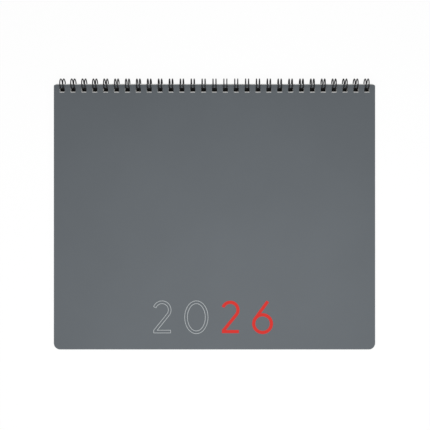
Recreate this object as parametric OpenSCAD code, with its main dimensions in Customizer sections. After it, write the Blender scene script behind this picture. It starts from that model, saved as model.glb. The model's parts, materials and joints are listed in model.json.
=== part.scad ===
// Annual planner: landscape sheets between two plastic covers, held along the long edge by a
// twin-loop wire. It lies on its back, with the wire towards +Y and the front cover on top.
// Lengths are in millimetres. The origin is on the table, under the middle of the planner.

/* [Covers] */
// Width of both covers, along the wire
cover_w = 250; // [180:1:320]
// Length of both covers, from the punched edge to the foot
cover_l = 206; // [140:1:320]
// Thickness of each plastic cover
cover_t = 0.4; // [0.3:0.05:1]
// Radius of the two corners at the foot of covers and leaves
foot_corner_r = 5; // [2:0.5:12]
// Radius of the two corners beside the wire
head_corner_r = 1.2; // [0.5:0.1:3]
// How far the front cover has slipped towards the foot, so that the leaves show past its edge
cover_slip = 0.7; // [0:0.05:1]

/* [Leaves] */
// Thickness of one paper leaf
leaf_t = 0.085; // [0.06:0.005:0.25]
// Air between two sheets that lie on each other
leaf_gap = 0.012; // [0.008:0.002:0.05]
// How far the leaves stay inside the covers at each side
leaf_side_inset = 1; // [0:0.25:4]
// How far the leaves stay inside the covers at the foot
leaf_foot_inset = 1.5; // [0:0.25:6]
// Leaves for each month
leaves_per_month = 2; // [1:1:3]
// Leaves for notes at the end
notes_leaves = 3; // [1:1:6]

/* [Punching] */
// Paper or plastic left between the punched edge and the holes
edge_strip = 2.1; // [1.8:0.1:4]
// Length of a hole, square to the edge
hole_l = 4; // [3.5:0.1:6]
// Room between the wire and each side of its hole
hole_side_clear = 0.4; // [0.25:0.05:0.8]
// Distance of the punched edges from the plane through the loops' axis
edge_back = 0.1; // [0.1:0.05:0.6]

/* [Wire] */
// Diameter of the wire
wire_d = 0.9; // [0.7:0.05:1.2]
// Distance from one twin loop to the next
loop_pitch = 8.467; // [7:0.001:12.7]
// Distance between the two wires of a twin loop
twin_w = 2.3; // [1.8:0.02:3]
// Bend radius where the wire runs on to the next loop
bend_r = 1.2; // [0.8:0.01:1.6]
// Least distance from the middle of the first and last loop to the side of the covers
loop_margin = 6; // [4:0.5:20]
// Room between the inside of the loops and the sheets that turn in them
turn_clear = 0.15; // [0.1:0.01:0.6]
// Step in which the loops' radius grows
loop_r_step = 0.05; // [0.05:0.05:0.5]

/* [Hidden] */
// The loops are bent to points on a 7, 24, 25 triangle, so their seam has a simple sine and cosine
seam_sin = 0.28;
seam_cos = 0.96;
// How far past the loops a cutter reaches, as a multiple of their radius
cutter_reach = 4;
wire_sides = 24;
loop_sides = 64;
corner_sides = 48;

MONTHS = [
    "january", "february", "march", "april", "may", "june",
    "july", "august", "september", "october", "november", "december"
];
MONTH_PAGES = ["plan", "tasks", "notes"];

// The leaves, from the front cover down to the back cover
LEAVES = concat(
    ["title_leaf", "year_plan_leaf"],
    [for (month = MONTHS) for (k = [0 : leaves_per_month - 1]) str(month, "_", MONTH_PAGES[k], "_leaf")],
    ["next_year_leaf"],
    [for (k = [1 : notes_leaves]) str("notes_leaf_", k)]
);

function to_step(value, step) = round(value / step) * step;

// The stack of sheets: each leaf takes its thickness and the air above it
leaf_rise = leaf_t + leaf_gap;
block_t = 2 * cover_t + leaf_gap + len(LEAVES) * leaf_rise;

// The corners of the hole edges lie on one circle round the loops' axis: the block hangs below the
// axis by block_low and stands above it by block_high, and the smallest loop that clears both is taken
low_hole = edge_back + edge_strip;
high_hole = low_hole + cover_slip;
block_low = (block_t + (pow(high_hole, 2) - pow(low_hole, 2)) / block_t) / 2;
block_high = block_t - block_low;
loop_r_least = norm([block_low, low_hole]) + turn_clear + wire_d / 2;
loop_r = ceil(loop_r_least / loop_r_step) * loop_r_step;

// The wire's steps are whole micrometres, so that its bends meet end to end
pitch = to_step(loop_pitch, 0.001);
twin = to_step(twin_w, 0.02);
bend = to_step(bend_r, 0.01);
loops = floor((cover_w - 2 * loop_margin) / pitch) + 1;
first_loop_x = -(loops - 1) * pitch / 2;
hole_w = twin + wire_d + 2 * hole_side_clear;

// The planner lies on its wire and on the foot of its back cover, so the sheets lean a little
axis_z = seam_cos * loop_r + seam_sin * bend + wire_d / 2;
back_reach = edge_back + cover_l;
front_reach = back_reach + cover_slip;
lean = asin(axis_z / norm([back_reach, block_low])) - atan2(block_low, back_reach);
foot_y = front_reach * cos(lean) + block_high * sin(lean);
axis_y = (foot_y - loop_r - wire_d / 2) / 2;

leaf_w = cover_w - 2 * leaf_side_inset;
leaf_l = cover_l - leaf_foot_inset;

// What is left of a square corner outside its rounding, for the corner at the origin
module corner_cut(r) {
    difference() {
        square(r);
        translate([r, r]) circle(r, $fn = corner_sides);
    }
}

// A sheet's outline, with its punched edge on the X axis and its foot towards -Y
module sheet_outline(w, l) {
    difference() {
        translate([-w / 2, -l]) square([w, l]);
        for (side = [0, 1]) mirror([side, 0]) {
            translate([-w / 2, -l]) corner_cut(foot_corner_r);
            translate([-w / 2, 0]) mirror([0, 1]) corner_cut(head_corner_r);
        }
    }
}

// A punched sheet of thickness t, with the row of holes for the loops
module punched_sheet(w, l, t) {
    linear_extrude(t) difference() {
        sheet_outline(w, l);
        for (k = [0 : loops - 1])
            translate([first_loop_x + k * pitch - hole_w / 2, -edge_strip - hole_l]) square([hole_w, hole_l]);
    }
}

// Puts a sheet into the block: rise is the height of its underside from that of the block,
// and slip its place along the sheets
module in_block(rise, slip = 0) {
    translate([0, axis_y, axis_z]) rotate([lean, 0, 0])
        translate([0, -edge_back - slip, rise - block_low]) children();
}

module back_cover() {
    color([0.36, 0.38, 0.4]) in_block(0) punched_sheet(cover_w, cover_l, cover_t);
}

module front_cover() {
    color([0.4, 0.42, 0.44]) in_block(block_t - cover_t, cover_slip) punched_sheet(cover_w, cover_l, cover_t);
}

// A paper leaf, counted from 0 under the front cover
module leaf(index) {
    from_below = len(LEAVES) - 1 - index;
    color([0.95, 0.95, 0.93]) in_block(cover_t + leaf_gap + from_below * leaf_rise)
        punched_sheet(leaf_w, leaf_l, leaf_t);
}

// Both rings of every twin loop round the X axis, open at the seam below
module loop_rings() {
    reach = cutter_reach * loop_r;
    run = (loops - 1) * pitch;
    difference() {
        for (k = [0 : loops - 1], side = [-1, 1])
            translate([k * pitch + side * twin / 2, 0, 0]) rotate([0, 90, 0])
                rotate_extrude($fn = loop_sides) translate([loop_r, 0]) circle(d = wire_d, $fn = wire_sides);
        translate([-reach, 0, 0]) rotate([90, 0, 90]) linear_extrude(run + 2 * reach)
            polygon([[0, 0], [-reach * seam_sin, -reach * seam_cos], [reach * seam_sin, -reach * seam_cos]]);
    }
}

// A bent piece of wire: an arc of the given radius and angle in the XY plane, from the X axis on
module wire_bend(r, angle) {
    rotate_extrude(angle = angle, $fn = loop_sides) translate([r, 0]) circle(d = wire_d, $fn = wire_sides);
}

// The closed end of a twin loop: a half turn from one ring to the other, in the rings' tangent plane
module loop_tip() {
    multmatrix([
        [1, 0, 0, 0],
        [0, -seam_cos, seam_sin, seam_sin * loop_r],
        [0, -seam_sin, -seam_cos, -seam_cos * loop_r],
        [0, 0, 0, 1]
    ]) wire_bend(twin / 2, 180);
}

// The run from the right ring of one loop to the left ring of the next, on the seam's other side
module loop_link() {
    straight = pitch - twin - 2 * bend;
    multmatrix([
        [1, 0, 0, 0],
        [0, seam_cos, seam_sin, -seam_sin * loop_r],
        [0, -seam_sin, seam_cos, -seam_cos * loop_r],
        [0, 0, 0, 1]
    ]) translate([twin / 2 + bend, 0, 0]) {
        rotate([0, 0, 90]) wire_bend(bend, 90);
        translate([0, bend, 0]) rotate([0, 90, 0]) cylinder(h = straight, d = wire_d, $fn = wire_sides);
        translate([straight, 0, 0]) wire_bend(bend, 90);
    }
}

// One wire, bent into twin loops that are closed round the punched edges
module wire_binding() {
    color([0.1, 0.1, 0.11]) translate([first_loop_x, axis_y, axis_z]) {
        loop_rings();
        for (k = [0 : loops - 1]) translate([k * pitch, 0, 0]) loop_tip();
        for (k = [0 : loops - 2]) translate([k * pitch, 0, 0]) loop_link();
    }
}

wire_binding();
back_cover();
for (i = [0 : len(LEAVES) - 1])
    leaf(i);
front_cover();
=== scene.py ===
"""Looks of a wire-bound annual planner, laid out as an add-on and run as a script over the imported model.

New surfaces are worked out in the sheets' own frame, in metres: x runs along the wire, s from the
loops' axis along the sheets with the foot at negative s, and n square to the sheets, up through the
front cover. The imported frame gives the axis, the lean of the sheets, their edges and their holes.
"""

import calendar
import json
import math

import bpy
import numpy as np
from bpy.props import FloatProperty, FloatVectorProperty, IntProperty, PointerProperty
from mathutils.geometry import tessellate_polygon
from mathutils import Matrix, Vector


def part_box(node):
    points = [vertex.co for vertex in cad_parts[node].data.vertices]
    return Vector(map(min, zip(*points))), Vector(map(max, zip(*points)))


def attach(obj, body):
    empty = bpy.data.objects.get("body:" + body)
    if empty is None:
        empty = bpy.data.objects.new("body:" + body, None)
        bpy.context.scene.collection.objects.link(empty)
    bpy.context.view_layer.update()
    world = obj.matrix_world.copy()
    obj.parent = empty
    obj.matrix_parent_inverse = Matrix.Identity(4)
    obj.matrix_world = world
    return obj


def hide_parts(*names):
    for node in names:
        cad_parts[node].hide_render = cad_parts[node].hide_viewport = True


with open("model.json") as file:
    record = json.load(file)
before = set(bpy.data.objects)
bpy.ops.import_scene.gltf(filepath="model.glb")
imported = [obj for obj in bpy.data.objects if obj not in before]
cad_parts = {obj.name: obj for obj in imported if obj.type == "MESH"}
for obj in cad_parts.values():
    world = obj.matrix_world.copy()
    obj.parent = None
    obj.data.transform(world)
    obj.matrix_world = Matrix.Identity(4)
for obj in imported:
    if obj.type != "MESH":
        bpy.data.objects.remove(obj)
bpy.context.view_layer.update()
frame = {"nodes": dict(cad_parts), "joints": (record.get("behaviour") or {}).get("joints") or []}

bl_info = {
    "name": "Annual planner",
    "version": (1, 0, 0),
    "blender": (4, 5, 0),
    "location": "3D View > Sidebar > Planner",
    "description": "Dresses the packed annual planner: covers, wire, leaves, print and stage",
    "category": "Object",
}

AXIS = np.array(frame["joints"][0]["pos_m"])
# Sine and cosine of the angle, from straight down, at which the loops are closed
SEAM_SIN, SEAM_COS = 0.28, 0.96

# Holes are looked for this far in from a sheet's sides, and between these distances from its punched edge
HOLE_SIDE, HOLE_TOP, HOLE_REACH = 0.003, 0.001, 0.02
# Places nearer to each other than the first are one; the second is room for rounding
SAME_PLACE, ROUNDING = 1e-4, 1e-6

# Points in a quarter circle of a cover's bevel, of its corners and of its holes' corners
BEVEL_STEPS, CORNER_STEPS, HOLE_STEPS = 4, 14, 5
# Points in the half turn at a loop's tip, and in a quarter bend between two loops
TIP_STEPS, BEND_STEPS = 13, 7
# Points in a bow of the year on the cover, and how many of its digits are outlined
YEAR_STEPS, OUTLINED = 40, 2

# A stroke's corner is sharp where the cosine of its turn is under the first value; the second is how far
# its inner corner is split, in half widths
SHARP_TURN, CROOK_STEP = -0.3, 0.05
# Share of the ink's thickness by which a digit's second stroke is thinner than its first
STROKE_STEP = 0.2
# Distance from one digit to the next, in digit heights
ADVANCE = 0.86

# What the settings for a colour share
COLOUR = {"subtype": "COLOR", "size": 3, "min": 0.0, "max": 1.0}

MONTHS = "january february march april may june july august september october november december".split()
# Small months across and down a page, days across and weeks down a month, and the column of Sundays
MONTHS_ACROSS, MONTHS_DOWN, DAYS, WEEKS, REST_DAY = 4, 3, 7, 6, 6

# Numbers on the leaves: height of the digits, weight of a stroke as a share of it, points in a bow
DAY = (0.0036, 0.11, 6)
SMALL_DAY = (0.0024, 0.12, 5)
SMALL_MONTH = (0.0042, 0.13, 6)
CORNER_YEAR = (0.0045, 0.1, 6)
HEADING = (0.0084, 0.12, 9)
TITLE_YEAR = (0.024, 0.1, 16)

# Where they stand: a heading from the left end of its bar, a month page's year from the right end, and a
# day or a small month's number from the upper left corner of its field
MONTH_PLACE, YEAR_PLACE, CORNER_PLACE = (0.00798, 0.00294), (0.014, 0.003), (-0.009, 0.002)
DAY_PLACE, SMALL_PLACE = (0.005, -0.0062), (0.004, -0.006)
# Room under the heading of a month page, and of a page of tasks or small months
GRID_DROP, LIST_DROP = 0.006, 0.004
# Small months: gap between two, top and foot of the rule, the first week, and what the weeks leave free
SMALL_GAP, SMALL_RULE, SMALL_WEEK, SMALL_FREE = 0.008, (0.0084, 0.0088), 0.0145, 0.018
# Distance between the lines of a page for notes, and of a page for tasks
NOTE_STEP, TASK_STEP = 0.009, 0.0098
# Tasks: half the gap between columns, side of a box to tick, its rise over the line, and the line's start
TASK_GUTTER, TICK_SIDE, TICK_RISE, TICK_ROOM = 0.004, 0.0048, 0.0006, 0.008
# Title page: half a line's length, how many there are, the first one under the page's middle, the step to
# the next, the year over the middle, and top and foot of the bar under it
TITLE_HALF, TITLE_LINES, TITLE_DROP, TITLE_STEP = 0.07, 4, 0.03, 0.014
TITLE_RISE, TITLE_BAR = 0.01, (0.0044, 0.0052)

# Floor: half its side, points along it, depth under the planner, edge of the painted shadow under the back
# cover, stray of tone
FLOOR_HALF, FLOOR_POINTS, FLOOR_DROP, FLOOR_SHADOW_EDGE, FLOOR_STRAY = 3.0, 7, 0.00005, 0.002, 0.004
# The floor's lift to white grows from the first of these distances, and is whole past the second
FLOOR_FADE = (0.4, 1.6)


def sheet_lean():
    """Angle in radians by which the sheets lean about X, from the largest face of the front cover."""
    normal = max(frame["nodes"]["front_cover"].data.polygons, key=lambda face: face.area).normal
    return math.atan(-normal.y / normal.z)


LEAN = sheet_lean()


def to_row(points):
    """Points of the sheets' frame in the row frame: turned by the lean and moved to the loops' axis."""
    x, s, n = np.moveaxis(np.asarray(points, float), -1, 0)
    c, d = math.cos(LEAN), math.sin(LEAN)
    return np.stack([x, AXIS[1] + s * c - n * d, AXIS[2] + s * d + n * c], -1)


def node_points(node):
    """Vertices of a CAD node in the sheets' frame."""
    mesh = frame["nodes"][node].data
    flat = np.empty(3 * len(mesh.vertices))
    mesh.vertices.foreach_get("co", flat)
    x, y, z = (flat.reshape(-1, 3) - [0, AXIS[1], AXIS[2]]).T
    c, d = math.cos(LEAN), math.sin(LEAN)
    return np.stack([x, y * c + z * d, z * c - y * d], -1)


def sheet_facts(node):
    """Lowest and highest corner of a punched sheet, and its holes as rows of x0, s0, x1, s1."""
    points = node_points(node)
    low, high = points.min(0), points.max(0)
    x, s = points[:, 0], points[:, 1]
    inside = (np.abs(x) < high[0] - HOLE_SIDE) & (s < high[1] - HOLE_TOP) & (s > high[1] - HOLE_REACH)
    edges = np.sort(x[inside])
    edges = edges[np.r_[True, np.diff(edges) > SAME_PLACE]].reshape(-1, 2)
    ends = np.broadcast_to([s[inside].min(), s[inside].max()], edges.shape)
    return low, high, np.stack([edges[:, 0], ends[:, 0], edges[:, 1], ends[:, 1]], -1)


def grid_faces(rows, columns, closed_rows=False, closed_columns=False):
    """Quads between the points of a grid, joined round along the sides that are closed."""
    index = np.arange(rows * columns).reshape(rows, columns)
    if closed_rows:
        index = np.vstack([index, index[:1]])
    if closed_columns:
        index = np.hstack([index, index[:, :1]])
    return np.stack([index[:-1, :-1], index[1:, :-1], index[1:, 1:], index[:-1, 1:]], -1).reshape(-1, 4)


def arc(x, y, across, along, start, end, steps):
    """Points of an elliptic arc round x, y, from one angle to another in degrees."""
    turn = np.radians(np.linspace(start, end, steps))
    return np.stack([x + across * np.cos(turn), y + along * np.sin(turn)], -1)


def ellipse(x, y, across, along, steps):
    """Points of a whole ellipse round x, y, twice as many as in a bow."""
    return arc(x, y, across, along, 0, 360, 2 * steps + 1)[:-1]


def rounded_outline(low, high, radii, steps):
    """Counter-clockwise outline of a rectangle with quarter circles for corners.

    The radii are those of the foot's left and right corner, then the head's right and left one.
    """
    corners = np.array([[low[0], low[1]], [high[0], low[1]], [high[0], high[1]], [low[0], high[1]]])
    inward = np.array([[1, 1], [-1, 1], [-1, -1], [1, -1]])
    angle = np.radians([180, 270, 0, 90])[:, None] + np.linspace(0, math.pi / 2, steps)
    radii = np.asarray(radii, float)[:, None, None]
    centres = corners[:, None] + inward[:, None] * radii
    return (centres + radii * np.stack([np.cos(angle), np.sin(angle)], -1)).reshape(-1, 2)


def side_offsets(path, closed):
    """For each point of a path, the step to its right that moves both adjoining edges by one unit."""
    edge = np.roll(path, -1, 0) - path if closed else np.diff(path, axis=0)
    edge = edge / np.linalg.norm(edge, axis=1, keepdims=True)
    right = np.stack([edge[:, 1], -edge[:, 0]], -1)
    before = np.roll(right, 1, 0) if closed else np.vstack([right[:1], right])
    after = right if closed else np.vstack([right, right[-1:]])
    both = before + after
    return 2 * both / np.sum(both**2, axis=1, keepdims=True)


def carried(path, closed, profile):
    """Points of a profile carried along a flat path.

    Each profile point is an offset to the right of the path and a height.
    """
    profile = np.asarray(profile, float)
    flat = path[:, None] + side_offsets(path, closed)[:, None] * profile[None, :, :1]
    height = np.broadcast_to(profile[None, :, 1:], flat.shape[:2] + (1,))
    return np.concatenate([flat, height], -1)


def stroke_sides(path, closed, half):
    """The right and left side of a stroke: its path moved aside by half its width.

    Where an open path turns back sharply, the more level or upright of the two edges is a bar with a
    square end: the other edge's outer side meets the bar's inner side at one corner of that end, and the
    next corner lies straight across the bar. The inner corner becomes two points, a little way along
    each edge.
    """
    aside = half * side_offsets(path, closed)
    right, left = path + aside, path - aside
    edge = np.diff(path, axis=0)
    edge /= np.linalg.norm(edge, axis=1, keepdims=True)
    sharp = 1 + np.flatnonzero(np.sum(edge[:-1] * edge[1:], axis=1) < SHARP_TURN)
    for k in [] if closed else sharp[::-1]:
        away = np.array([-edge[k - 1], edge[k]])
        bar = np.abs(away).max(1).argmax()
        along, other = away[bar], away[1 - bar]
        inner = other - other @ along * along
        inner /= np.linalg.norm(inner)
        outer = other @ along * other - along
        outer /= np.linalg.norm(outer)
        corner = path[k] + half * (inner + (1 - inner @ outer) / (along @ outer) * along)
        crook = path[k] + half * (inner - (1 + inner @ outer) / (along @ outer) * along)
        ends = np.array([corner, corner - 2 * half * inner])
        crooks = crook + CROOK_STEP * half * np.array([other, along])
        if bar == 0:
            ends, crooks = ends[::-1], crooks[::-1]
        turns_left = edge[k - 1, 0] * edge[k, 1] > edge[k - 1, 1] * edge[k, 0]
        pair = (ends, crooks) if turns_left else (crooks, ends)
        right, left = [np.vstack([side[:k], new, side[k + 1 :]]) for side, new in zip((right, left), pair)]
    return right, left


def stroke(path, closed, width, low, high):
    """A thin closed bar of ink along a path, as points and quads: a box between the stroke's sides."""
    right, left = stroke_sides(path, closed, width / 2)
    rows = len(right)
    flat = np.stack([right, right, left, left], 1)
    height = np.broadcast_to(np.array([low, high, high, low])[:, None], (rows, 4, 1))
    points = np.concatenate([flat, height], -1)
    quads = grid_faces(rows, 4, closed, True)
    if not closed:
        last = 4 * (rows - 1)
        quads = np.vstack([quads, [[0, 1, 2, 3], [last + 3, last + 2, last + 1, last]]])
    return points.reshape(-1, 3), quads


def bars(boxes, low, high):
    """Thin closed bars of ink over rows of x0, s0, x1, s1, as points and quads."""
    x0, s0, x1, s1 = np.asarray(boxes, float).T
    outline = np.stack([np.stack([x0, x1, x1, x0], -1), np.stack([s0, s0, s1, s1], -1)], -1)
    bottom = np.concatenate([outline, np.full(outline.shape[:2] + (1,), low)], -1)
    top = np.concatenate([outline, np.full(outline.shape[:2] + (1,), high)], -1)
    points = np.concatenate([bottom, top], 1)
    box = np.array([[3, 2, 1, 0], [4, 5, 6, 7], [0, 1, 5, 4], [1, 2, 6, 5], [2, 3, 7, 6], [3, 0, 4, 7]])
    quads = box[None] + 8 * np.arange(len(points))[:, None, None]
    return points.reshape(-1, 3), quads.reshape(-1, 4)


def joined(blocks):
    """Several blocks of points and quads as one, with the quads renumbered."""
    starts = np.cumsum([0] + [len(points) for points, _ in blocks[:-1]])
    points = np.concatenate([points for points, _ in blocks])
    return points, np.concatenate([quads + start for (_, quads), start in zip(blocks, starts)])


def digit_strokes(digit, steps):
    """Middle lines of a digit as pairs of path and closed, on a base line, about one unit tall."""
    if digit == 0:
        return [(ellipse(0, 0.487, 0.3455, 0.5045, steps), True)]
    if digit == 1:
        return [(np.array([[-0.14, 0.8], [0.08, 1.0], [0.08, 0.0]]), False)]
    if digit == 2:
        bow = arc(0, 0.733, 0.2575, 0.2575, 159.5, -39, steps)
        return [(np.vstack([bow, [[-0.257, 0.0067], [0.288, 0.0067]]]), False)]
    if digit == 3:
        upper = arc(0, 0.765, 0.235, 0.235, 155, -90, steps)
        return [(upper, False), (arc(0, 0.265, 0.265, 0.265, 90, -155, steps), False)]
    if digit == 4:
        return [
            (np.array([[0.13, 0.0], [0.13, 1.0]]), False),
            (np.array([[0.13, 1.0], [-0.29, 0.27], [0.31, 0.27]]), False),
        ]
    if digit == 5:
        bowl = arc(0, 0.29, 0.29, 0.29, 135, -150, steps)
        return [(np.vstack([[[0.24, 1.0], [-0.17, 1.0]], bowl]), False)]
    if digit == 7:
        return [(np.array([[-0.28, 1.0], [0.28, 1.0], [-0.09, 0.0]]), False)]
    if digit == 8:
        upper = ellipse(0, 0.775, 0.225, 0.225, steps)
        return [(upper, True), (ellipse(0, 0.275, 0.275, 0.275, steps), True)]
    # A 6 is a bowl and a stem from its tip to where it touches the bowl, and a 9 is a 6 turned round
    centre, tip, radius = np.array([0, 0.273]), np.array([0.175, 1.02]), 0.2975
    away = tip - centre
    reach = np.linalg.norm(away)
    turn = math.atan2(away[1], away[0]) + math.acos(radius / reach)
    touch = centre + radius * np.array([math.cos(turn), math.sin(turn)])
    bowl, stem = ellipse(*centre, radius, radius, steps), np.array([tip, touch])
    if digit == 9:
        bowl, stem = [0, 1.0] - bowl, [0, 1.0] - stem
    return [(bowl, True), (stem, False)]


def digit_block(digit, steps, width, low, high):
    """A digit one unit tall as points and quads of ink, with its strokes the given width of that unit.

    A second stroke is a little thinner than the first, so that no faces coincide where they cross.
    """
    tops = high - STROKE_STEP * (high - low) * np.arange(2)
    return joined([stroke(*one, width, low, top) for one, top in zip(digit_strokes(digit, steps), tops)])


def number_blocks(numbers, places, size, weight, steps, low, high):
    """Ink blocks for whole numbers on a sheet: each digit is made once and copied to all its places.

    A place is the middle of the number's base line, and size the height of its digits.
    """
    spots = {digit: [] for digit in range(10)}
    advance = ADVANCE * size
    for number, place in zip(numbers, places):
        text = str(number)
        first = place[0] - advance * (len(text) - 1) / 2
        for k, letter in enumerate(text):
            spots[int(letter)].append((first + k * advance, place[1]))
    blocks = []
    for digit, spot in spots.items():
        if spot:
            points, quads = digit_block(digit, steps, weight, low, high)
            copies = points[None] * [size, size, 1] + np.insert(np.array(spot), 2, 0, axis=1)[:, None]
            copied = quads[None] + len(points) * np.arange(len(spot))[:, None, None]
            blocks.append((copies.reshape(-1, 3), copied.reshape(-1, 4)))
    return blocks


def month_days(year, month):
    """The numbers of a month's days, and the column and the week of each, with weeks from Monday on."""
    first, days = calendar.monthrange(year, month)
    week, column = np.divmod(first + np.arange(days), DAYS)
    return 1 + np.arange(days), column, week


def ruled_lines(top, foot, step):
    """Places of lines a step apart, from one step under the top down to the foot."""
    return np.arange(top - step, foot - ROUNDING, -step)


def linked(name, data):
    """A new object in the scene, with the given data."""
    made = bpy.data.objects.new(name, data)
    bpy.context.scene.collection.objects.link(made)
    return made


def new_object(name, points, faces, materials, body, smooth=False):
    """A mesh object from row-frame points and faces, which rides on a body and takes the given materials.
    """
    mesh = bpy.data.meshes.new(name)
    mesh.from_pydata(np.asarray(points).tolist(), [], [list(face) for face in faces])
    mesh.polygons.foreach_set("use_smooth", np.full(len(mesh.polygons), smooth))
    for material in materials:
        mesh.materials.append(material)
    mesh.update()
    made = linked(name, mesh)
    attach(made, body)
    return made


def add(tree, kind, inputs=None, **options):
    """Adds a shader node; its inputs, by name or number, are values or other nodes' sockets."""
    made = tree.nodes.new("ShaderNode" + kind)
    for key, value in options.items():
        setattr(made, key, value)
    for key, value in (inputs or {}).items():
        if isinstance(value, bpy.types.NodeSocket):
            tree.links.new(value, made.inputs[key])
        else:
            made.inputs[key].default_value = value
    return made


def new_tree(name):
    """A new material, its empty node tree and the object coordinates in it."""
    material = bpy.data.materials.new(name)
    material.use_nodes = True
    material.node_tree.nodes.clear()
    return material, material.node_tree, add(material.node_tree, "TexCoord").outputs["Object"]


def noise(tree, coordinates, scale, detail=2.0):
    """A noise pattern's value, with the given number of features per metre."""
    return add(tree, "TexNoise", {"Vector": coordinates, "Scale": scale, "Detail": detail}).outputs["Fac"]


def spread(tree, value, low, high, start=0.3, end=0.7):
    """A pattern's value between start and end, spread from low to high."""
    sockets = {"Value": value, "From Min": start, "From Max": end, "To Min": low, "To Max": high}
    return add(tree, "MapRange", sockets).outputs["Result"]


def computed(tree, operation, *values):
    """The result of one sum on numbers or sockets."""
    return add(tree, "Math", dict(enumerate(values)), operation=operation).outputs[0]


def mixed(tree, factor, first, second):
    """A colour between two colours."""
    return add(tree, "Mix", {0: factor, 6: first, 7: second}, data_type="RGBA").outputs[2]


def shade(colour, factor):
    """A colour made lighter or darker, with full alpha."""
    return (*[min(1.0, channel * factor) for channel in colour[:3]], 1.0)


def seen_rays(tree):
    """1 for rays that show a surface as it is seen: by the camera, in a reflection or through glass."""
    path = add(tree, "LightPath").outputs
    mirrored = computed(tree, "MAXIMUM", path["Is Glossy Ray"], path["Is Transmission Ray"])
    return computed(tree, "MAXIMUM", path["Is Camera Ray"], mirrored)


def close_tree(tree, colour, roughness, specular, relief):
    """Ends a material with one Principled shader over a relief: a height, its strength and its depth."""
    bump = add(tree, "Bump", dict(zip(("Height", "Strength", "Distance"), relief)))
    sockets = {
        "Base Color": colour,
        "Roughness": roughness,
        "Specular IOR Level": specular,
        "Normal": bump.outputs["Normal"],
    }
    shader = add(tree, "BsdfPrincipled", sockets)
    add(tree, "OutputMaterial", {"Surface": shader.outputs["BSDF"]})


def cover_material(settings):
    """Matte moulded plastic sheet: a fine sand grain, a faint mottle, and rims scuffed lighter."""
    material, tree, place = new_tree("cover_plastic")
    grain = noise(tree, place, settings.grain, detail=3.0)
    mottle = spread(tree, noise(tree, place, scale=16.0, detail=4.0), 0.0, 1.0)
    body = mixed(tree, mottle, shade(settings.colour, 0.97), shade(settings.colour, 1.03))
    speckle = spread(tree, grain, 0.0, 0.1, start=0.45, end=0.75)
    speckled = mixed(tree, speckle, body, shade(settings.colour, 1.6))
    scuff = spread(tree, noise(tree, place, scale=260.0, detail=3.0), 0.1, 0.5)
    rim = add(tree, "Attribute", attribute_name="rim").outputs["Fac"]
    worn = computed(tree, "MULTIPLY", rim, scuff)
    colour = mixed(tree, worn, speckled, shade(settings.colour, 2.0))
    roughness = spread(tree, grain, 0.5, 0.62)
    close_tree(tree, colour, roughness, specular=0.25, relief=(grain, 0.3, 0.00003))
    return material


def wire_material(settings):
    """Black coating on steel wire: satin, with a faint orange peel and dull rubbed patches."""
    material, tree, place = new_tree("wire_coating")
    peel = noise(tree, place, scale=2200.0)
    rub = noise(tree, place, scale=190.0, detail=3.0)
    dull = spread(tree, rub, 0.0, 1.0, start=0.4, end=0.75)
    colour = mixed(tree, dull, shade(settings.colour, 1.0), shade(settings.colour, 1.9))
    roughness = spread(tree, rub, settings.roughness - 0.05, settings.roughness + 0.1)
    close_tree(tree, colour, roughness, specular=0.22, relief=(peel, 0.12, 0.00003))
    return material


def paper_material(settings):
    """Uncoated paper: fibres a millimetre long in slightly different whites over a soft cloudy ground."""
    material, tree, place = new_tree("planner_paper")
    stretched = add(tree, "Mapping", {"Vector": place, "Scale": (1.0, 2.6, 1.0)}).outputs["Vector"]
    fibre = noise(tree, stretched, settings.fibre, detail=4.0)
    cloud = spread(tree, noise(tree, place, scale=60.0, detail=3.0), 0.0, 1.0)
    ground = mixed(tree, cloud, shade(settings.colour, 0.985), shade(settings.colour, 1.01))
    strand = spread(tree, fibre, 0.0, 0.6, start=0.35, end=0.7)
    colour = mixed(tree, strand, ground, shade(settings.colour, 0.96))
    roughness = spread(tree, fibre, 0.8, 0.92)
    close_tree(tree, colour, roughness, specular=0.25, relief=(fibre, 0.15, 0.00002))
    return material


def ink_material(name, colour, roughness):
    """Printed ink: nearly even, with a fine mottle where it took to the surface a little less."""
    material, tree, place = new_tree(name)
    mottle = noise(tree, place, scale=1500.0, detail=3.0)
    took = spread(tree, mottle, 0.0, 1.0)
    printed = mixed(tree, took, shade(colour, 0.94), shade(colour, 1.04))
    sheen = spread(tree, mottle, roughness - 0.05, roughness + 0.05)
    close_tree(tree, printed, sheen, specular=0.25, relief=(mottle, 0.1, 0.00001))
    return material


class PlannerCoverSettings(bpy.types.PropertyGroup):
    """Sizes and finish of the two plastic covers."""

    colour: FloatVectorProperty(
        name="Colour", description="Colour of the plastic", default=(0.127, 0.143, 0.157), **COLOUR
    )
    bevel: FloatProperty(
        name="Bevel", description="Rounding of the cut rims", unit="LENGTH", default=0.00009
    )
    rim: FloatProperty(
        name="Rim", description="Width of the scuffed band along the rims", unit="LENGTH", default=0.00045
    )
    foot_corner: FloatProperty(
        name="Foot corners", description="Radius of the corners at the foot", unit="LENGTH", default=0.005
    )
    head_corner: FloatProperty(
        name="Head corners", description="Radius of the corners by the wire", unit="LENGTH", default=0.0012
    )
    hole_corner: FloatProperty(
        name="Hole corners",
        description="Radius of the corners of the holes",
        unit="LENGTH",
        default=0.00035,
    )
    grain: FloatProperty(name="Grain", description="Features of the sand grain per metre", default=2600.0)


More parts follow.
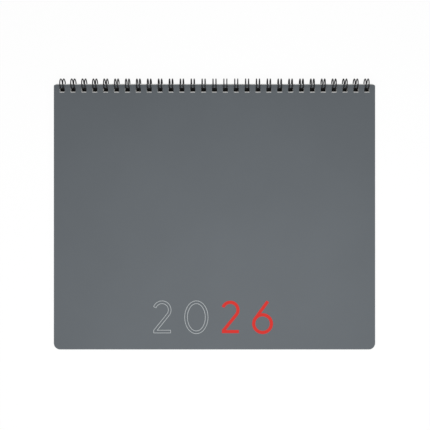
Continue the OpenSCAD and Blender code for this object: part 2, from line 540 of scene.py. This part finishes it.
class PlannerWireSettings(bpy.types.PropertyGroup):
    """Sizes and finish of the twin-loop wire."""

    colour: FloatVectorProperty(
        name="Colour", description="Colour of the coating", default=(0.009, 0.009, 0.0105), **COLOUR
    )
    roughness: FloatProperty(
        name="Roughness",
        description="Roughness of the coating",
        subtype="FACTOR",
        min=0.0,
        max=1.0,
        default=0.36,
    )
    thickness: FloatProperty(
        name="Thickness", description="Diameter of the wire", unit="LENGTH", default=0.0009
    )
    twin: FloatProperty(
        name="Twin", description="Distance between the two wires of a loop", unit="LENGTH", default=0.0023
    )
    bend: FloatProperty(
        name="Bend", description="Bend radius between two loops", unit="LENGTH", default=0.0012
    )
    sides: IntProperty(name="Sides", description="Sides of the wire's section", min=8, default=14)
    steps: IntProperty(name="Steps", description="Points along one ring", min=16, default=48)


class PlannerLeafSettings(bpy.types.PropertyGroup):
    """Finish of the paper leaves and the layout of what is printed on them."""

    colour: FloatVectorProperty(
        name="Paper", description="Colour of the paper", default=(0.86, 0.86, 0.84), **COLOUR
    )
    ink: FloatVectorProperty(
        name="Ink", description="Colour of rules and numbers", default=(0.2, 0.21, 0.22), **COLOUR
    )
    accent: FloatVectorProperty(
        name="Accent", description="Colour of headings and Sundays", default=(0.66, 0.042, 0.034), **COLOUR
    )
    fibre: FloatProperty(name="Fibre", description="Fibres per metre", default=900.0)
    film: FloatProperty(name="Film", description="Thickness of the ink", unit="LENGTH", default=0.000003)
    rule: FloatProperty(name="Rule", description="Width of a printed rule", unit="LENGTH", default=0.00022)
    margin: FloatProperty(name="Margin", description="Bare edge of a page", unit="LENGTH", default=0.011)
    head: FloatProperty(
        name="Head", description="From the punched edge to the print", unit="LENGTH", default=0.013
    )
    heading: FloatProperty(
        name="Heading", description="Height of a page's heading", unit="LENGTH", default=0.014
    )
    year: IntProperty(name="Year", description="Year that the leaves are for", default=2026)


class PlannerYearSettings(bpy.types.PropertyGroup):
    """The year on the front cover."""

    size: FloatProperty(
        name="Size", description="Height of the digits' middle lines", unit="LENGTH", default=0.02317
    )
    base: FloatProperty(
        name="Base", description="Height of the base line above the foot", unit="LENGTH", default=0.0138
    )
    weight: FloatProperty(name="Weight", description="Width of a stroke", unit="LENGTH", default=0.00248)
    line: FloatProperty(
        name="Line", description="Width of an outlined stroke's line", unit="LENGTH", default=0.000375
    )
    film: FloatProperty(name="Film", description="Thickness of the ink", unit="LENGTH", default=0.00002)
    places: FloatVectorProperty(
        name="Places",
        description="Middle of each digit along the foot",
        unit="LENGTH",
        size=4,
        default=(-0.0408, -0.0141, 0.0123, 0.0374),
    )
    outline: FloatVectorProperty(
        name="Outline", description="Colour of the outlined digits", default=(0.55, 0.58, 0.59), **COLOUR
    )
    solid: FloatVectorProperty(
        name="Solid", description="Colour of the solid digits", default=(0.677, 0.0195, 0.0123), **COLOUR
    )


class PlannerStageSettings(bpy.types.PropertyGroup):
    """Camera, floor and light."""

    distance: FloatProperty(
        name="Distance", description="From the front cover to the camera", unit="LENGTH", default=0.48
    )
    field: FloatProperty(
        name="Field",
        description="Width of what the camera sees at the front cover",
        unit="LENGTH",
        default=0.3345,
    )
    middle: FloatVectorProperty(
        name="Middle",
        description="Middle of the picture from the cover's middle, to the right and towards the wire",
        unit="LENGTH",
        size=2,
        default=(0.0004, 0.00163),
    )
    aside: FloatProperty(
        name="Aside",
        description="Camera to the right of the picture's middle",
        unit="LENGTH",
        default=0.0096,
    )
    key: FloatProperty(name="Key", description="Power of the main light", unit="POWER", default=0.69)
    lamp: FloatVectorProperty(
        name="Lamp",
        description="Middle of the main light",
        unit="LENGTH",
        size=3,
        default=(0.02, -0.1, 0.28),
    )
    lamp_size: FloatVectorProperty(
        name="Lamp size", description="Sides of the main light", unit="LENGTH", size=2, default=(0.45, 0.35)
    )
    sky: FloatProperty(name="Sky", description="Strength of the light from all round", default=0.4)
    floor: FloatProperty(
        name="Floor", description="Grey level of the floor", subtype="FACTOR", default=0.93
    )
    lift: FloatProperty(
        name="Lift",
        description="How far the camera sees the floor lifted to white",
        subtype="FACTOR",
        default=0.9,
    )
    white: FloatProperty(
        name="White", description="Strength of the white that the floor is lifted to", default=1.032
    )
    # Share of the floor's tone left under the back cover: the depth of the shadow painted there
    under: FloatProperty(
        name="Under",
        description="Share of the floor's tone left under the back cover",
        subtype="FACTOR",
        default=0.05,
    )


class PLANNER_OT_covers(bpy.types.Operator):
    """Builds both covers as punched plastic sheets with rounded rims in place of the CAD plates"""

    bl_idname = "planner.covers"
    bl_label = "Covers"

    def execute(self, context):
        settings = context.scene.planner_covers
        material = cover_material(settings)
        for node, body in (("front_cover", "front_cover"), ("back_cover", "base")):
            low, high, holes = sheet_facts(node)
            points, faces, rim = self.plate(settings, low, high, holes)
            made = new_object(node + "_sheet", to_row(points), faces, [material], body)
            made.data.attributes.new("rim", "FLOAT", "POINT").data.foreach_set("value", rim)
            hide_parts(node)
        return {"FINISHED"}

    def plate(self, settings, low, high, holes):
        """Points, faces and rim weights of a punched sheet.

        A rim profile, two quarter circles joined by the sheet's thickness with a flat band before and
        after, is carried along the outline and, the other way round, along every hole. Both faces are
        filled between the bands' inner edges. The weight falls from 1 on the rim to 0 at those edges.
        """
        b, band = settings.bevel, settings.rim
        turn = np.linspace(0, math.pi / 2, BEVEL_STEPS)
        under = np.stack([-b + b * np.sin(turn), low[2] + b - b * np.cos(turn)], -1)
        over = np.stack([-b + b * np.cos(turn), high[2] - b + b * np.sin(turn)], -1)
        profile = np.vstack([[-band, low[2]], under, over, [-band, high[2]]])
        weight = np.ones(len(profile))
        weight[[0, -1]] = 0.0
        radii = [settings.foot_corner] * 2 + [settings.head_corner] * 2
        loops = [rounded_outline(low, high, radii, CORNER_STEPS)]
        for hole in holes:
            outline = rounded_outline(hole[:2], hole[2:], [settings.hole_corner] * 4, HOLE_STEPS)
            loops.append(outline[::-1])
        blocks, tops, bottoms, start = [], [], [], 0
        for loop in loops:
            points = carried(loop, True, profile)
            blocks.append((points.reshape(-1, 3), grid_faces(len(loop), len(profile), True)))
            rows = start + len(profile) * np.arange(len(loop))
            bottoms.append(rows)
            tops.append(rows + len(profile) - 1)
            start += points.shape[0] * points.shape[1]
        points, quads = joined(blocks)
        faces = quads.tolist()
        filled = np.array(tessellate_polygon([points[rows].tolist() for rows in tops]))
        faces += np.concatenate(tops)[filled].tolist()
        faces += np.concatenate(bottoms)[filled[:, ::-1]].tolist()
        return points, faces, np.tile(weight, len(points) // len(weight))


class PLANNER_OT_wire(bpy.types.Operator):
    """Builds the twin-loop wire as one smooth tube in place of the CAD wire"""

    bl_idname = "planner.wire"
    bl_label = "Wire"

    def execute(self, context):
        settings = context.scene.planner_wire
        holes = sheet_facts("back_cover")[2]
        path = self.path(settings, (holes[:, 0] + holes[:, 2]) / 2)
        points, faces = self.tube(path, settings.thickness / 2, settings.sides)
        coat = wire_material(settings)
        made = new_object("wire_binding_tube", points, faces, [coat], "base", smooth=True)
        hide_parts("wire_binding")
        return {"FINISHED"}

    def path(self, settings, centres):
        """Middle line of the wire, in the row frame.

        Each loop climbs one ring round the axis from the seam, turns back in a half circle at its tip,
        comes down the other ring, and runs in two quarter bends and a straight to the next loop.
        """
        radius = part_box("wire_binding")[1][1] - AXIS[1] - settings.thickness / 2
        seam = math.atan2(SEAM_SIN, SEAM_COS)
        angle = np.linspace(seam, 2 * math.pi - seam, settings.steps)
        ring = radius * np.stack([-np.sin(angle), -np.cos(angle)], -1)
        half, bend = settings.twin / 2, settings.bend
        pitch = centres[1] - centres[0]
        turn = np.linspace(0, math.pi, TIP_STEPS)[1:-1]
        tip = ring[-1] + half * np.sin(turn)[:, None] * [-SEAM_COS, -SEAM_SIN]
        quarter = np.linspace(0, math.pi / 2, BEND_STEPS)
        out = ring[0] + bend * np.sin(quarter[1:])[:, None] * [SEAM_COS, -SEAM_SIN]
        back = ring[0] + bend * np.cos(quarter[:-1])[:, None] * [SEAM_COS, -SEAM_SIN]
        x = [
            np.full(len(ring), -half),
            -half * np.cos(turn),
            np.full(len(ring), half),
            half + bend - bend * np.cos(quarter[1:]),
            pitch - half - bend + bend * np.sin(quarter[:-1]),
        ]
        loop = np.column_stack([np.concatenate(x), np.vstack([ring, tip, ring[::-1], out, back])])
        whole = loop[None] + centres[:, None, None] * [1.0, 0.0, 0.0]
        cut = len(out) + len(back)
        return whole.reshape(-1, 3)[:-cut] + [0.0, AXIS[1], AXIS[2]]

    def tube(self, path, radius, sides):
        """A circle carried along a path, with flat ends; its first spoke points away from the axis."""
        ahead = np.gradient(path, axis=0)
        ahead /= np.linalg.norm(ahead, axis=1, keepdims=True)
        spoke = (path - AXIS) * [0.0, 1.0, 1.0]
        spoke -= np.sum(spoke * ahead, axis=1, keepdims=True) * ahead
        spoke /= np.linalg.norm(spoke, axis=1, keepdims=True)
        other = np.cross(spoke, ahead)
        turn = np.arange(sides) * 2 * math.pi / sides
        circle = np.cos(turn)[:, None] * spoke[:, None] + np.sin(turn)[:, None] * other[:, None]
        points = (path[:, None] + radius * circle).reshape(-1, 3)
        ends = np.arange(sides)
        faces = grid_faces(len(path), sides, False, True).tolist()
        return points, faces + [ends.tolist(), (len(points) - 1 - ends).tolist()]


class PLANNER_OT_leaves(bpy.types.Operator):
    """Gives the leaves their paper and prints their pages"""

    bl_idname = "planner.leaves"
    bl_label = "Leaves"

    def execute(self, context):
        settings = context.scene.planner_leaves
        paper = paper_material(settings)
        inks = [
            ink_material("page_ink", settings.ink, roughness=0.6),
            ink_material("page_accent", settings.accent, roughness=0.6),
        ]
        leaves = [name for name in frame["nodes"] if "_leaf" in name]
        if not leaves:
            raise RuntimeError("the frame holds no leaves")
        for name in leaves:
            for material_slot in frame["nodes"][name].material_slots:
                material_slot.material = paper
            self.print_leaf(settings, name, inks)
        return {"FINISHED"}

    def print_leaf(self, settings, name, inks):
        """One piece of print for both pages of a leaf, in plain ink and accent ink."""
        low, high, _ = sheet_facts(name)
        margin = settings.margin
        area = (low[0] + margin, low[1] + margin, high[0] - margin, high[1] - settings.head)
        front = (high[2], high[2] + settings.film)
        back = (low[2] - settings.film, low[2])
        word = name.split("_")[0]
        month = MONTHS.index(word) + 1 if word in MONTHS else 0
        if name.endswith("_plan_leaf") and month:
            plain, accent = self.month_page(settings, area, front, month)
        elif name.endswith("_tasks_leaf"):
            plain, accent = self.task_page(settings, area, front, month)
        elif name in ("year_plan_leaf", "next_year_leaf"):
            year = settings.year + (name == "next_year_leaf")
            plain, accent = self.year_page(settings, area, front, year)
        elif name == "title_leaf":
            plain, accent = self.title_page(settings, area, front)
        else:
            plain, accent = self.ruled_page(settings, area, front)
        more = self.ruled_page(settings, area, back)
        plain, accent = joined(plain + more[0]), joined(accent + more[1])
        points, quads = joined([plain, accent])
        made = new_object(name + "_print", to_row(points), quads, inks, name)
        index = np.repeat([0, 1], [len(plain[1]), len(accent[1])])
        made.data.polygons.foreach_set("material_index", index)

    def rules(self, across, down, x, s, width):
        """Boxes of printed rules: upright ones at the places across, then level ones at the places down.

        The upright ones run between the two s, and the level ones between the two x.
        """
        half = width / 2
        upright = [(p - half, s[0], p + half, s[1]) for p in across]
        return upright + [(x[0], p - half, x[1], p + half) for p in down]

    def head_bar(self, settings, area, film):
        """A bar across the page, under its heading."""
        x0, _, x1, s1 = area
        base, half = s1 - settings.heading, 2 * settings.rule
        return bars([(x0, base - half, x1, base + half)], *film)

    def head_line(self, settings, area, film, number, place):
        """A page's heading: a number, at its place from the left end of the bar under it."""
        spot = (area[0] + place[0], area[3] - settings.heading + place[1])
        return number_blocks([number], [spot], *HEADING, *film) + [self.head_bar(settings, area, film)]

    def month_page(self, settings, area, film, month):
        """A month's plan: seven columns and six rows of days, with each day's number in its corner."""
        x0, s0, x1, s1 = area
        top = s1 - settings.heading - GRID_DROP
        columns, rows = np.linspace(x0, x1, DAYS + 1), np.linspace(top, s0, WEEKS + 1)
        number, column, week = month_days(settings.year, month)
        places = np.stack([columns[column], rows[week]], -1) + DAY_PLACE
        rest = column == REST_DAY
        corner = (x1 + CORNER_PLACE[0], s1 - settings.heading + CORNER_PLACE[1])
        plain = number_blocks(number[~rest], places[~rest], *DAY, *film)
        plain += number_blocks([settings.year], [corner], *CORNER_YEAR, *film)
        plain.append(bars(self.rules(columns, rows, (x0, x1), (s0, top), settings.rule), *film))
        accent = number_blocks(number[rest], places[rest], *DAY, *film)
        return plain, accent + self.head_line(settings, area, film, month, MONTH_PLACE)

    def task_page(self, settings, area, film, month):
        """A month's tasks: two columns of ruled lines, each with a box to tick."""
        x0, s0, x1, s1 = area
        lines = ruled_lines(s1 - settings.heading - LIST_DROP, s0, TASK_STEP)
        boxes = []
        for left, right in ((x0, -TASK_GUTTER), (TASK_GUTTER, x1)):
            boxes += self.rules([], lines, (left + TICK_ROOM, right), None, settings.rule)
            for s in lines + TICK_RISE:
                sides, levels = (left, left + TICK_SIDE), (s, s + TICK_SIDE)
                boxes += self.rules(sides, levels, sides, levels, settings.rule)
        return [bars(boxes, *film)], self.head_line(settings, area, film, month, MONTH_PLACE)

    def year_page(self, settings, area, film, year):
        """A year at a glance: twelve small months, four across, with the number of every day."""
        x0, s0, x1, s1 = area
        top = s1 - settings.heading - LIST_DROP
        wide, tall = (x1 - x0 + SMALL_GAP) / MONTHS_ACROSS, (top - s0) / MONTHS_DOWN
        across, down = (wide - SMALL_GAP) / DAYS, (tall - SMALL_FREE) / WEEKS
        numbers, places, rests, heads, rules = [], [], [], [], []
        for month in range(len(MONTHS)):
            left, upper = x0 + month % MONTHS_ACROSS * wide, top - month // MONTHS_ACROSS * tall
            number, column, week = month_days(year, month + 1)
            numbers.append(number)
            x, s = left + (column + 0.5) * across, upper - SMALL_WEEK - week * down
            places.append(np.stack([x, s], -1))
            rests.append(column == REST_DAY)
            heads.append((left + SMALL_PLACE[0], upper + SMALL_PLACE[1]))
            rules.append((left, upper - SMALL_RULE[1], left + wide - SMALL_GAP, upper - SMALL_RULE[0]))
        numbers, places, rests = np.concatenate(numbers), np.concatenate(places), np.concatenate(rests)
        plain = number_blocks(numbers[~rests], places[~rests], *SMALL_DAY, *film)
        plain.append(bars(rules, *film))
        accent = number_blocks(numbers[rests], places[rests], *SMALL_DAY, *film)
        accent += number_blocks(range(1, len(MONTHS) + 1), heads, *SMALL_MONTH, *film)
        return plain, accent + self.head_line(settings, area, film, year, YEAR_PLACE)

    def title_page(self, settings, area, film):
        """The first page: the year, and four lines for the owner's name and address."""
        middle = (area[1] + area[3]) / 2
        left, right = -TITLE_HALF, TITLE_HALF
        lines = middle - TITLE_DROP - TITLE_STEP * np.arange(TITLE_LINES)
        plain = [bars(self.rules([], lines, (left, right), None, settings.rule), *film)]
        accent = number_blocks([settings.year], [(0.0, middle + TITLE_RISE)], *TITLE_YEAR, *film)
        accent.append(bars([(left, middle - TITLE_BAR[1], right, middle - TITLE_BAR[0])], *film))
        return plain, accent

    def ruled_page(self, settings, area, film):
        """A page for notes: ruled lines under one bar in the accent colour."""
        x0, s0, x1, s1 = area
        lines = ruled_lines(s1 - settings.heading, s0, NOTE_STEP)
        plain = [bars(self.rules([], lines, (x0, x1), None, settings.rule), *film)]
        return plain, [self.head_bar(settings, area, film)]


class PLANNER_OT_year(bpy.types.Operator):
    """Prints the year on the front cover: two digits in outline, two in solid ink"""

    bl_idname = "planner.year"
    bl_label = "Year"

    def execute(self, context):
        settings = context.scene.planner_year
        digits = [int(letter) for letter in str(context.scene.planner_leaves.year)]
        low, high, _ = sheet_facts("front_cover")
        film = (high[2], high[2] + settings.film)
        base, size = low[1] + settings.base, settings.size
        outline, solid = [], []
        for digit, x in zip(digits[:OUTLINED], settings.places[:OUTLINED]):
            for path, closed in digit_strokes(digit, YEAR_STEPS):
                edges = self.edges(settings, path * size + [x, base], closed)
                outline += [stroke(edge, True, settings.line, *film) for edge in edges]
        for digit, x in zip(digits[OUTLINED:], settings.places[OUTLINED:]):
            points, quads = digit_block(digit, YEAR_STEPS, settings.weight / size, *film)
            solid.append((points * [size, size, 1] + [x, base, 0], quads))
        for name, blocks in (("outline", outline), ("solid", solid)):
            points, quads = joined(blocks)
            ink = ink_material("cover_ink_" + name, getattr(settings, name), roughness=0.5)
            new_object("year_" + name, to_row(points), quads, [ink], "front_cover")
        return {"FINISHED"}

    def edges(self, settings, path, closed):
        """Middle lines of the line round a stroke.

        There is one on each side of a closed path, and one all round an open path. Points nearer to the
        one before than half the line's width are left out.
        """
        right, left = stroke_sides(path, closed, (settings.weight - settings.line) / 2)
        if closed:
            return [right, left]
        whole = np.vstack([right, left[::-1]])
        step = np.linalg.norm(whole - np.roll(whole, 1, 0), axis=1)
        return [whole[step > settings.line / 2]]


class PLANNER_OT_stage(bpy.types.Operator):
    """Sets up the pale floor, the soft light and the camera"""

    bl_idname = "planner.stage"
    bl_label = "Stage"

    def execute(self, context):
        settings = context.scene.planner_stage
        self.floor(settings)
        self.light(settings)
        self.camera(settings)
        context.scene.view_settings.view_transform = "Standard"
        return {"FINISHED"}

    def floor(self, settings):
        """A wide level floor, just under what the planner rests on.

        The camera sees it lifted towards white, wholly so far away, except under the back cover, where its
        colour is painted dark: a painted shadow of the planner, which also shows through the holes.
        """
        material, tree, place = new_tree("stage_floor")
        low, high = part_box("back_cover")
        axes = add(tree, "SeparateXYZ", {0: place}).outputs
        past = []
        for axis in range(2):
            middle, half = (low[axis] + high[axis]) / 2, (high[axis] - low[axis]) / 2
            away = computed(tree, "ABSOLUTE", computed(tree, "SUBTRACT", axes[axis], middle))
            past.append(spread(tree, away, 0.0, 1.0, half - FLOOR_SHADOW_EDGE, half))
        outside = computed(tree, "MAXIMUM", *past)
        cloud = noise(tree, place, scale=3.0)
        tone = spread(tree, cloud, settings.floor - FLOOR_STRAY, settings.floor + FLOOR_STRAY)
        # Painted shadow: under the back cover the floor's colour is darkened to the share set by under
        tone = computed(tree, "MULTIPLY", tone, spread(tree, outside, settings.under, 1.0, 0.0, 1.0))
        finish = {"Base Color": tone, "Roughness": 0.9, "Specular IOR Level": 0.1}
        matte = add(tree, "BsdfPrincipled", finish)
        away = add(tree, "VectorMath", {0: place}, operation="LENGTH").outputs["Value"]
        # No lift to white under the back cover, so the painted shadow there stays dark
        lift = computed(tree, "MULTIPLY", seen_rays(tree), outside)
        lift = computed(tree, "MULTIPLY", lift, spread(tree, away, settings.lift, 1.0, *FLOOR_FADE))
        white = add(tree, "Emission", {"Color": (1, 1, 1, 1), "Strength": settings.white})
        both = add(tree, "MixShader", {0: lift, 1: matte.outputs[0], 2: white.outputs[0]})
        add(tree, "OutputMaterial", {"Surface": both.outputs[0]})
        mesh = bpy.data.meshes.new("stage_floor")
        side = np.linspace(-FLOOR_HALF, FLOOR_HALF, FLOOR_POINTS)
        x, y = np.meshgrid(side, side, indexing="ij")
        points = np.stack([x, y, np.full_like(x, -FLOOR_DROP)], -1).reshape(-1, 3)
        mesh.from_pydata(points.tolist(), [], grid_faces(FLOOR_POINTS, FLOOR_POINTS).tolist())
        mesh.materials.append(material)
        made = linked("stage_floor", mesh)

    def light(self, settings):
        """Even light from all round, and one large soft light over the foot of the planner."""
        world = bpy.data.worlds.new("stage_sky")
        bpy.context.scene.world = world
        world.use_nodes = True
        tree = world.node_tree
        tree.nodes.clear()
        plain = add(tree, "Background", {"Color": (1, 1, 1, 1), "Strength": settings.sky})
        white = add(tree, "Background", {"Color": (1, 1, 1, 1), "Strength": 1.0})
        both = add(tree, "MixShader", {0: seen_rays(tree), 1: plain.outputs[0], 2: white.outputs[0]})
        add(tree, "OutputWorld", {"Surface": both.outputs[0]})
        lamp = bpy.data.lights.new("key_light", "AREA")
        lamp.energy = settings.key
        lamp.shape = "RECTANGLE"
        lamp.size, lamp.size_y = settings.lamp_size
        made = linked("key_light", lamp)
        made.location = settings.lamp
        made.visible_camera = False
        made.rotation_mode = "QUATERNION"
        made.rotation_quaternion = (-made.location).to_track_quat("-Z", "Y")

    def camera(self, settings):
        """Above the front cover and square to it, a little aside, with its lens shifted back as far."""
        low, high, _ = sheet_facts("front_cover")
        x, s = (low + high)[:2] / 2 + settings.middle
        place = (x + settings.aside, s, high[2] + settings.distance)
        data = bpy.data.cameras.new("photo_camera")
        data.lens = data.sensor_width * settings.distance / settings.field
        data.shift_x = -settings.aside / settings.field
        made = linked("photo_camera", data)
        made.location = to_row(place)
        made.rotation_euler = (LEAN, 0.0, 0.0)
        bpy.context.scene.camera = made


class PLANNER_PT_panel(bpy.types.Panel):
    """Lists the steps that dress the planner, with their settings"""

    bl_idname = "PLANNER_PT_panel"
    bl_label = "Annual planner"
    bl_space_type = "VIEW_3D"
    bl_region_type = "UI"
    bl_category = "Planner"

    def draw(self, context):
        for operator, group, _ in STEPS:
            box = self.layout.box()
            box.operator(operator.bl_idname)
            settings = getattr(context.scene, group)
            for key in settings.__annotations__:
                box.prop(settings, key)


STEPS = [
    (PLANNER_OT_covers, "planner_covers", PlannerCoverSettings),
    (PLANNER_OT_wire, "planner_wire", PlannerWireSettings),
    (PLANNER_OT_leaves, "planner_leaves", PlannerLeafSettings),
    (PLANNER_OT_year, "planner_year", PlannerYearSettings),
    (PLANNER_OT_stage, "planner_stage", PlannerStageSettings),
]


def register():
    """Registers the settings, the steps and the panel."""
    for operator, group, settings in STEPS:
        bpy.utils.register_class(settings)
        setattr(bpy.types.Scene, group, PointerProperty(type=settings))
        bpy.utils.register_class(operator)
    bpy.utils.register_class(PLANNER_PT_panel)


def unregister():
    """Takes back what register set up."""
    bpy.utils.unregister_class(PLANNER_PT_panel)
    for operator, group, settings in reversed(STEPS):
        bpy.utils.unregister_class(operator)
        delattr(bpy.types.Scene, group)
        bpy.utils.unregister_class(settings)


def main():
    """Runs every step."""
    register()
    bpy.ops.planner.covers()
    bpy.ops.planner.wire()
    bpy.ops.planner.leaves()
    bpy.ops.planner.year()
    bpy.ops.planner.stage()


if __name__ == "__main__":
    main()
